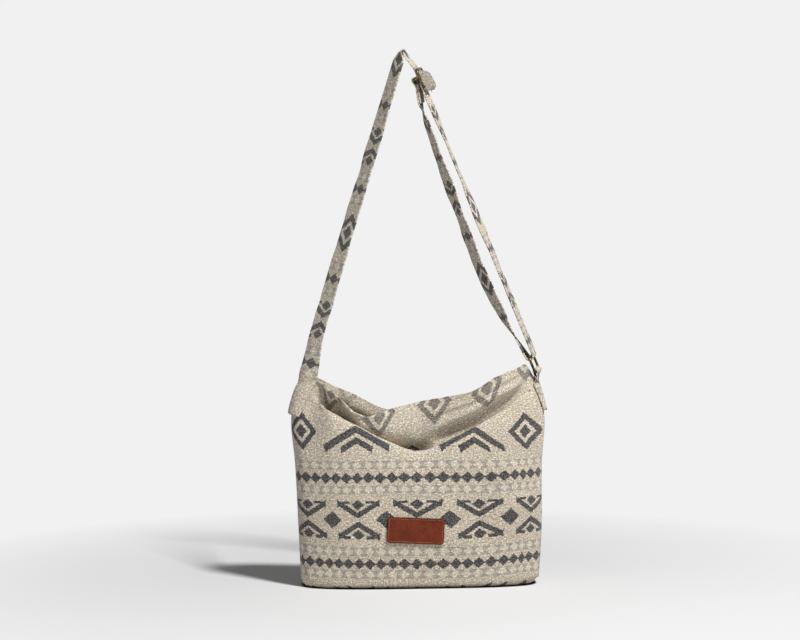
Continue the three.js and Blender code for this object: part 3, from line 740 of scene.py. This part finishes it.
def makeLabel():
    bm = bmesh.new()
    bmesh.ops.create_grid(bm, x_segments=1, y_segments=1, size=0.5)
    bmesh.ops.scale(bm, vec=(label["width"], label["height"], 1.0), verts=bm.verts)
    bevel(bm, bm.verts[:], label["corner"], 8, "VERTICES")
    rise = bmesh.ops.extrude_face_region(bm, geom=bm.faces[:])
    top = [item for item in rise["geom"] if isinstance(item, bmesh.types.BMVert)]
    bmesh.ops.translate(bm, vec=(0, 0, label["thickness"]), verts=top)
    bmesh.ops.recalc_face_normals(bm, faces=bm.faces)
    crisp = [edge for edge in bm.edges if edge.calc_face_angle() > 1.2]
    bevel(bm, crisp, label["edge"], 4)
    faces = [face for face in bm.faces if face.normal.z > 0.99]
    for inset in label["insets"]:
        bmesh.ops.inset_region(bm, faces=faces, thickness=inset, use_even_offset=True)
    sunk = [v for v in bm.verts if v.co.z > label["thickness"] - 0.05
            and abs(rimDistance(v.co) - label["stitchInset"]) < 0.9]
    bmesh.ops.translate(bm, vec=(0, 0, -label["stitchGroove"]), verts=sunk)
    edge = bm.loops.layers.uv.new("edge")
    for face in bm.faces:
        for loop in face.loops:
            loop[edge].uv = (max(rimDistance(loop.vert.co), 0.0) * mm, 0.0)
    bmesh.ops.transform(bm, matrix=labelPlace(), verts=bm.verts)
    obj = newObject("label", bm)
    shadeSmooth(obj)
    obj.data.materials.append(makeLeather())
    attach(obj, "bag")
    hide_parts("leather_label")


def makeStitches():                # one small rounded thread for each stitch
    inset = label["stitchInset"]
    path = roundedLoop(label["width"] - 2 * inset, label["height"] - 2 * inset, label["corner"] - inset, 6, 0)
    path.append(path[0])
    run = runLengths(path)
    count = round(run[-1] / label["stitchPitch"])
    bm = bmesh.new()
    for n in range(count):
        want = run[-1] * n / count
        k = max(i for i in range(len(path) - 1) if run[i] <= want)
        a, b = path[k], path[k + 1]
        at = a.lerp(b, (want - run[k]) / max(run[k + 1] - run[k], 1e-6))
        lean = math.atan2(b.y - a.y, b.x - a.x) + label["stitchLean"]
        thread = bmesh.ops.create_cube(bm, size=1.0)["verts"]
        bmesh.ops.scale(bm, vec=label["thread"], verts=thread)
        place = Matrix.Translation((at.x, at.y, label["thickness"] - 0.1)) @ Matrix.Rotation(lean, 4, "Z")
        bmesh.ops.transform(bm, matrix=place, verts=thread)
    bevel(bm, bm.edges[:], label["threadRound"], 1)
    bmesh.ops.transform(bm, matrix=labelPlace(), verts=bm.verts)
    obj = newObject("labelStitches", bm)
    shadeSmooth(obj)
    material, tree, shader = newMaterial("waxedThread")
    strand = addNoise(tree, objectPlace(tree), leather["strandScale"])
    colour = addMix(tree, addRange(tree, strand, 0.35, 0.65), leather["pale"], leather["thread"])
    setInputs(shader, {"Base Color": colour, "Roughness": addRange(tree, strand, 0.3, 0.7, 0.8, 0.65)})
    obj.data.materials.append(material)
    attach(obj, "bag")


makeLabel()
makeStitches()
print("label made")

# Strap and hardware
strap = {
    "width": 25.0, "thickness": 1.8, "rimRound": 0.62, "apex": (-19.0, 640.0), "apexRadius": 3.0,
    "sewn": 44.0, "cornerLift": 11.0, "cornerIn": 7.0, "stand": 0.6, "forward": 10.5,
    "lift": (236.0, 70.0, 0.26),   # where the sewn end leaves the side, over what length, and its lean
    "turnRadius": 4.5, "junction": 46.0, "tuck": 5.0, "tuckLength": 24.0, "gatherLength": 13.0,
    "turns": ((0, 50), (0.06, 52), (0.1, 58), (0.125, 54), (0.165, 42), (0.21, 39), (0.34, 37), (0.6, 32),
              (0.9, 27), (1, 26)),
    "runTurn": math.radians(18),
    "outerTwist": ((0, 0), (0.13, 0), (0.2, 4), (0.33, -6), (0.47, -4), (0.66, 4), (0.8, -2), (0.88, 0), (1, 0)),
    "innerTwist": ((-0.2, 0), (-0.14, -6), (-0.06, -15), (0, -24), (0.06, -33), (0.13, -39), (0.25, -38),
                   (0.38, -38), (0.51, -32), (0.62, -38), (0.82, -27), (0.92, -22), (1, 0)),
    "slack": ((0.12, 9.5), (0.3, 11.5), (0.5, 13.5), (0.68, 14.0), (0.84, 9.5), (0.95, 3.0)), "hang": 7.0,
    "tail": 28.0, "loopClosing": 8.4, "seamGap": 0.3, "bend": (32.0, 3.0),     # the turn follows the ring here
    "outerRipple": 1.2, "innerRipple": 1.4,
    "clothX": 142.0, "clothLeft": -30.0, "clothPull": 0.96, "plain": 46.0, "plainBand": 260.0,
    "turnCloth": 60.0, "returnCloth": 250.0,
}
hardware = {
    "wire": 1.6, "clearance": 0.3, "innerWidth": 27.0, "reach": 19.0, "corner": 4.0,
    "length": 22.0, "fromApex": 34.0,
}
apex = Vector((strap["apex"][0], 0.0, strap["apex"][1]))
overTop = strap["apexRadius"]
runStart = apex + Vector((overTop, 0.0, -overTop))
runAlong = (ringAt - runStart).normalized()
sideways = Vector((0.0, 1.0, 0.0))
runAcross = Matrix.Rotation(strap["runTurn"], 3, runAlong) @ sideways
runOut = runAlong.cross(runAcross)
ringTop = ringAt - runAlong * hardware["reach"]
runLength = (ringTop - runStart).length
outerEnd = runLength - strap["junction"]         # the strap is cut here, above the ring
halfStrap = strap["thickness"] / 2
loopRadius = hardware["wire"] + hardware["clearance"] + halfStrap
endBarLevel = loopRadius
centreBarLevel = -(2 * halfStrap + hardware["clearance"] + loopRadius)
outerLevel = strap["turnRadius"]
turnAt = runLength + loopRadius - outerLevel
barLevel = outerLevel + centreBarLevel
sliderAt = hardware["fromApex"]
sewnAt = sliderAt + strap["tail"]
joined = barLevel + loopRadius - strap["thickness"] - strap["seamGap"]


def alongRun(distance, level):
    return runStart + runAlong * distance + runOut * level


def twisted(table, share):         # a run turns a little about its length
    return Matrix.Rotation(math.radians(throughKnots(strap[table], share)), 3, runAlong) @ runAcross


def roundSide(z, right, reach):    # the place this far round the side from its seam, and the way out
    wide, deep, power = halfWidthAt(z, right), halfDepthAt(z), bag["sharpness"]
    x, y = wide, 0.0
    for _ in range(30):
        nx, ny = (x / wide) ** (power - 1) / wide, (y / deep) ** (power - 1) / deep
        step = abs(reach) / 30 / math.hypot(nx, ny)
        x, y = x - step * ny, y + step * nx
        back = ((x / wide) ** power + (y / deep) ** power) ** (-1 / power)
        x, y = x * back, y * back
    out = Vector(((x / wide) ** (power - 1) / wide, (y / deep) ** (power - 1) / deep, 0.0)).normalized()
    turn = Vector((1.0 if right else -1.0, math.copysign(1.0, reach), 1.0))
    return Vector((x, y, z)) * turn, out * turn


def pressed(at, reach, right, stand, lift):    # sewn cloth lies round the side and lifts off above it
    start, length, inward = lift
    hold = ease(start + length, start, at.z)
    if not hold:
        return at
    foot, out = roundSide(min(at.z, start + 8.0), right, reach)
    foot.x -= math.copysign(inward * max(at.z - start, 0.0), foot.x)
    foot.z = at.z
    return at.lerp(foot + out * stand, hold)


def ribbon(name, stations, clothStart, climb=-1.0, ripple=0.0, press=None, plain=0.0, gather=None,
           look=strapCloth):
    rows, widthSteps = len(stations) - 1, 10
    run = runLengths([at for at, _ in stations])
    bm, cell, flat, bake = clothGrid(widthSteps, rows)
    seed = sum(ord(letter) for letter in name)
    for vert, (i, j) in cell.items():
        s = i / widthSteps - 0.5
        at, across = stations[j]
        along = (stations[min(j + 1, rows)][0] - stations[max(j - 1, 0)][0]).normalized()
        side = (across - along * across.dot(along)).normalized()
        lively = ripple * ease(0.0, 12.0, run[j]) * ease(10.0, 40.0, run[-1] - run[j])
        if gather:                 # the slider's place near the top lies flat
            lively *= ease(50.0, 80.0, abs(run[j] - gather))
        wave = lively * noise.noise(Vector((s * 1.2, run[j] / 21.0, seed)))
        edge = lively * 0.55 * noise.noise(Vector((math.copysign(3.0, s), run[j] / 15.0, seed + 5.0)))
        wide = strap["width"] + edge
        if gather:                 # cloth pinched together folds lengthwise
            near = ease(strap["gatherLength"], 0.0, abs(run[j] - gather))
            wave += 0.12 * near * wide * (0.5 - abs(s))
            wide *= 1 - 0.6 * near
        place = at + side * (s * wide) + along.cross(side) * wave
        if press:
            place = press(place, s * strap["width"], j)
        vert.co = toFrame(place)
    high, low = bands["nestRows"]
    for facet in bm.faces:
        nearest = min(run[cell[vert][1]] for vert in facet.verts)
        repeats = math.floor((clothStart + climb * nearest - low) / (high - low))
        back = strap["plainBand"] if nearest < plain else repeats * (high - low)
        for loop in facet.loops:   # the bands repeat along the strip
            i, j = cell[loop.vert]
            loop[flat].uv = ((strap["clothX"] + (i / widthSteps - 0.5) * strap["width"]) * mm,
                             (clothStart + climb * run[j] - back) * mm)
            loop[bake].uv = (0.02 + 0.44 * i / widthSteps, 0.01 + 0.98 * j / rows)
    obj = newObject(name, bm)
    obj.data.materials.append(look)
    thicken(obj, strap["thickness"], 0.0, strap["rimRound"])
    shadeSmooth(obj)
    return obj


def shoulderStations():
    def onSide(z):
        return Vector((-(halfWidthAt(z, False) + strap["stand"] + halfStrap), 0.0, z))
    sewn = [onSide(bag["height"] - strap["sewn"] * (1 - k / 4)) for k in range(5)]
    corner = sewn[-1] + Vector((strap["cornerIn"], 0.0, strap["cornerLift"]))
    lift = apex - Vector((overTop, 0.0, overTop))
    knots = sewn + [corner] + [corner.lerp(lift, k) for k in (0.1, 0.5, 0.85)] + [lift]
    rising, length = evenly(knots, 170)
    stations = []
    for k, at in enumerate(rising):
        turn = math.radians(throughKnots(strap["turns"], k / 170))
        at.y -= 0.9 * strap["forward"] * ease(380.0, bag["height"], at.z)
        stations.append((at, Matrix.Rotation(turn, 3, "Z") @ sideways))
    last = stations[-1][1]
    top = apex + Vector((0.0, 0.0, overTop))
    fold = alongRun(0.0, outerLevel - strap["tuck"])
    for k in range(1, 16):
        t = k / 16
        stations.append((lift.lerp(top, t).lerp(top.lerp(fold, t), t), last.lerp(runAcross, t)))
    steps = 110
    for k in range(steps + 1):
        d = outerEnd * k / steps
        level = outerLevel - strap["tuck"] * ease(strap["tuckLength"], 0.0, d)
        stations.append((alongRun(d, level), twisted("outerTwist", k / steps)))
    return stations, length + overTop


def pressStrap(at, reach, row):
    stand = strap["stand"] + strap["thickness"] * 1.6
    return pressed(at, reach - strap["forward"], False, stand, strap["lift"])


shoulderPath, topAt = shoulderStations()
shoulder = ribbon("shoulderStrap", shoulderPath, strap["clothLeft"], climb=strap["clothPull"],
                  ripple=strap["outerRipple"], press=pressStrap, plain=strap["plain"], gather=topAt)
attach(shoulder, "bag")
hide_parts("shoulder_strap")


def slackRun():                    # from the ring up to the sewn end, cut where the turn piece ends
    knots = [(sewnAt, joined - strap["hang"])]
    knots += [(lerp(sewnAt, turnAt, share), lerp(joined, -outerLevel, share) - amount)
              for share, amount in strap["slack"]]
    knots.append((turnAt, -outerLevel))
    run, _ = evenly([alongRun(d, level) for d, level in reversed(knots)], 200)
    cut = next(k for k, at in enumerate(run) if (at - runStart).dot(runAlong) < outerEnd)
    return run[:cut + 1], run[cut:]


def halfTurn(centre, level, radius, steps, side):  # round a bar, from the outer level or from the inner one
    angles = [math.pi * k / 16 for k in steps]
    return [(alongRun(centre + side * radius * math.sin(angle), level + side * radius * math.cos(angle)), runAcross)
            for angle in angles]


def sewnLayer(d):                  # the inner layer lies against the sewn tail
    return alongRun(d, joined - strap["hang"] * (d - sliderAt) / strap["tail"]), runAcross


lowRun, highRun = slackRun()
turnStations = [(alongRun(lerp(outerEnd + 0.1, turnAt, k / 16), outerLevel), runAcross) for k in range(17)]
turnStations += halfTurn(turnAt, 0.0, outerLevel, range(1, 16), 1)
turnStations += [(at, twisted("innerTwist", 0.2 * k / (len(lowRun) - 1) - 0.2)) for k, at in enumerate(lowRun)]
turnPiece = ribbon("strapTurn", turnStations, strap["turnCloth"])
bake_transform(turnPiece)

stubEnd = sliderAt + strap["loopClosing"] + 1.0
backStations = [(at, twisted("innerTwist", k / (len(highRun) - 1))) for k, at in enumerate(highRun)]
backStations += [sewnLayer(lerp(sewnAt, stubEnd, k / 6)) for k in range(1, 7)]
backRun = ribbon("strapReturn", backStations, strap["returnCloth"], ripple=strap["innerRipple"])
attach(backRun, "bag")
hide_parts("strap_return")
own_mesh(backRun)

loopStations = [sewnLayer(stubEnd - 0.3), sewnLayer(stubEnd - 1.3)]
loopStations += halfTurn(sliderAt, barLevel, loopRadius, range(17), -1)
tailStart = alongRun(sliderAt, barLevel + loopRadius)
tailEnd = alongRun(sewnAt, barLevel + loopRadius - strap["hang"])
loopStations += [(tailStart.lerp(tailEnd, k / 12), runAcross) for k in range(1, 13)]
loopCloth = strap["returnCloth"] - runLengths([at for at, _ in backStations])[-1]
loopPiece = ribbon("strapLoop", loopStations, loopCloth)
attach(loopPiece, "slider")

tab = {
    "thickness": 1.6, "sewn": 36.0, "below": 5.0, "gap": 0.3, "stand": 0.5, "forward": 1.5,
    "lift": (236.0, 14.0, 0.3), "cloth": 103.0,
}


def tabStations():
    loop = hardware["wire"] + 2 * hardware["clearance"] + tab["thickness"] / 2
    top = bag["height"] - tab["below"]

    def leg(z, layer):
        away = tab["gap"] + tab["thickness"] / 2 + layer * (tab["thickness"] + tab["gap"])
        return Vector((halfWidthAt(z, True) + away, 0.0, z))
    heights = [top - tab["sewn"] * (1 - k / 12) for k in range(13)]
    stations = [(leg(z, 0), sideways) for z in heights]
    outward = Vector((1.0, 0.0, 0.0))
    outward = (outward - runAcross * outward.dot(runAcross)).normalized()
    upward = outward.cross(runAcross)
    for k in range(25):
        angle = math.pi * (1.1 - 1.3 * k / 24)
        at = ringAt + outward * (loop * math.cos(angle)) + upward * (loop * math.sin(angle))
        stations.append((at, runAcross))
    return stations + [(leg(z, 1), sideways) for z in reversed(heights)]


def pressTab(at, reach, row):
    layer = 0 if row < 20 else 1
    stand = tab["stand"] + tab["thickness"] * (0.5 + 1.2 * layer)
    return pressed(at, reach - tab["forward"], True, stand, tab["lift"])


tabPiece = ribbon("ringTab", tabStations(), tab["cloth"], press=pressTab)
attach(tabPiece, "bag")
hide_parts("ring_tab")
print("strap made")


brass = {"dark": tone(50, 44, 29), "mid": tone(104, 90, 58), "rubbed": tone(174, 155, 108)}


def makeBrass():
    material, tree, shader = newMaterial("antiqueBrass")
    place = objectPlace(tree)
    patina = addNoise(tree, place, 160.0, 4.0, 0.6)
    scratch = addNoise(tree, addStretch(tree, place, (1.0, 6.0, 1.0)), 500.0, 2.0)
    colour = addMix(tree, addRange(tree, patina, 0.36, 0.62), brass["dark"], brass["mid"])
    colour = addMix(tree, addRange(tree, scratch, 0.58, 0.7), colour, brass["rubbed"])
    setInputs(shader, {"Base Color": colour, "Metallic": 1.0,
                       "Roughness": addRange(tree, patina, 0.3, 0.7, 0.42, 0.24)})
    return material


antiqueBrass = makeBrass()


def bentWire(name, splines, place):
    curve = bpy.data.curves.new(name, "CURVE")
    curve.dimensions = "3D"
    curve.bevel_depth = hardware["wire"]
    curve.bevel_resolution = 4
    curve.use_fill_caps = True
    for points, closed in splines:
        spline = curve.splines.new("POLY")
        spline.points.add(len(points) - 1)
        for target, point in zip(spline.points, points):
            target.co = (*point, 1.0)
        spline.use_cyclic_u = closed
    carrier = addObject(name + "Path", curve)
    mesh = plainMesh(carrier)
    bpy.data.objects.remove(carrier)
    bpy.data.curves.remove(curve)
    mesh.transform(place)
    mesh.name = name
    mesh.materials.clear()
    mesh.materials.append(antiqueBrass)
    obj = addObject(name, mesh)
    shadeSmooth(obj)
    return obj


wireWidth = hardware["innerWidth"] + 2 * hardware["wire"]


def frameLoop(length):
    return roundedLoop(length, wireWidth, hardware["corner"], 8, -1)


def onRun(distance, level):
    return placed(alongRun(distance, level), Matrix((runAlong, runAcross, runOut)).transposed().to_4x4())


ring = bentWire("ring", [(frameLoop(hardware["reach"]), True)], onRun(runLength + hardware["reach"] / 2, 0.0))
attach(ring, "ring")
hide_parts("strap_ring")


def crankedBar():
    half = wireWidth / 2
    crank = centreBarLevel - endBarLevel
    bend = 2 * hardware["wire"]
    points = [(0.0, -half, 0.0)]
    for k in range(9):
        angle = math.radians(90 * k / 8)
        points.append((0.0, -half + bend - bend * math.cos(angle), crank + bend - bend * math.sin(angle)))
    return points + [(x, -y, z) for x, y, z in reversed(points)]


slider = bentWire("slider", [(frameLoop(hardware["length"]), True), (crankedBar(), False)],
                  onRun(sliderAt, outerLevel + endBarLevel))
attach(slider, "slider")
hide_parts("strap_slider")

bulge = {                          # along the run from the slider's middle, and out from the run
    "points": ((-8.3, 2.2), (-6.0, 3.9), (1.0, 5.6), (8.0, 6.3), (14.0, 6.6), (17.2, 5.5), (15.6, 4.5), (13.4, 4.4)),
    "lean": math.radians(28), "cloth": 20.0, "plain": 60.0,
}


def makeBulge():                   # the strap stands out where it is threaded through the slider
    path, _ = evenly([alongRun(sliderAt + d, outerLevel + level) for d, level in bulge["points"]], 44)
    leaning = Matrix.Rotation(bulge["lean"], 3, runAlong) @ runAcross
    stations = []
    for k, at in enumerate(path):
        share = k / (len(path) - 1)
        stations.append((at, runAcross.lerp(leaning, ease(0.0, 0.3, share) * ease(1.0, 0.7, share))))
    # the bulge's cloth is painted darker, a painted shade on the fold
    piece = ribbon("sliderBulge", stations, bulge["cloth"], plain=bulge["plain"], look=shadedFoldCloth)
    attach(piece, "slider")


makeBulge()
print("hardware made")

# Floor, light and camera
studio = {
    # the grey under the base is a painted contact shadow on the floor
    "background": 0.879, "floorColour": 0.7, "paintedContactShadow": 0.02, "skyLight": 0.14, "lampAim": (0.0, 0.0, 0.2),
    "keyPower": 122.0, "keyAt": (1.0, -1.55, 2.75), "keySize": 0.45,
    "fillPower": 4.0, "fillAt": (-1.9, -1.6, 0.9), "fillSize": 1.6,
    "distance": 2.6, "azimuth": -5.0, "height": 0.434, "aim": (-0.0225, 0.0, 0.318), "lens": 97.5,
}


def grey(level):
    return (level, level, level, 1.0)


def seenDirectly(tree):            # what the camera, a reflection or a view through something meets
    rays = addNode(tree, "LightPath", {})
    seen = addMath(tree, "MAXIMUM", rays["Is Camera Ray"], rays["Is Glossy Ray"])
    return addMath(tree, "MAXIMUM", seen, rays["Is Transmission Ray"])


def addBlend(tree, factor, first, second, output):
    blend = addNode(tree, "MixShader", {0: factor, 1: first, 2: second})
    setInputs(tree.nodes[output], {"Surface": blend[0]})


def makeFloor():
    bm = bmesh.new()
    bmesh.ops.create_circle(bm, cap_ends=True, segments=96, radius=4.0)
    bmesh.ops.translate(bm, vec=(0, 0, -0.0005), verts=bm.verts)
    floor = newObject("floor", bm)
    material, tree, shader = newMaterial("paleFloor")
    m = partial(addMath, tree)
    place = objectPlace(tree)
    across = addSplit(tree, place)
    reach = [m("POWER", m("ABSOLUTE", m("DIVIDE", m("SUBTRACT", across[k], shift[k] * mm), bag[size] * mm / 2)),
               bag["sharpness"]) for k, size in enumerate(("baseWidth", "baseDepth"))]
    outside = addRange(tree, m("ADD", *reach), 0.95, 1.03)   # painted contact shadow: the floor is painted dark right under the base
    shade = addMix(tree, outside, grey(studio["paintedContactShadow"]), grey(studio["floorColour"]))
    setInputs(shader, {"Base Color": shade, "Roughness": 0.95, "Specular IOR Level": 0.1})
    away = addNode(tree, "VectorMath", {0: place}, operation="LENGTH")["Value"]
    far = addRange(tree, away, 0.25, 0.7)
    glow = addNode(tree, "Emission", {"Color": grey(studio["background"])})
    addBlend(tree, m("MULTIPLY", far, seenDirectly(tree)), shader.outputs[0], glow[0], "Material Output")
    floor.data.materials.append(material)


def makeWorld():
    world = bpy.data.worlds.new("studio")
    world.use_nodes = True
    scene.world = world
    tree = world.node_tree
    light = tree.nodes["Background"]
    setInputs(light, {"Color": grey(1.0), "Strength": studio["skyLight"]})
    seen = addNode(tree, "Background", {"Color": grey(studio["background"])})
    addBlend(tree, seenDirectly(tree), light.outputs[0], seen[0], "World Output")


def aimAt(obj, at, target):
    obj.location = at
    obj.rotation_euler = (Vector(target) - obj.location).to_track_quat("-Z", "Y").to_euler()


def addLamp(name):
    lamp = bpy.data.lights.new(name, "AREA")
    lamp.energy = studio[name + "Power"]
    lamp.shape = "DISK"
    lamp.size = studio[name + "Size"]
    aimAt(addObject(name, lamp), studio[name + "At"], studio["lampAim"])


def addCamera():
    data = bpy.data.cameras.new("camera")
    data.lens = studio["lens"]
    data.sensor_width = 36.0
    turn, reach = math.radians(studio["azimuth"]), studio["distance"]
    x, y, _ = studio["aim"]
    scene.camera = addObject("camera", data)
    aimAt(scene.camera, (x + reach * math.sin(turn), y - reach * math.cos(turn), studio["height"]), studio["aim"])


makeFloor()
makeWorld()
addLamp("key")
addLamp("fill")
addCamera()
scene.view_settings.view_transform = "Standard"
print("studio made")
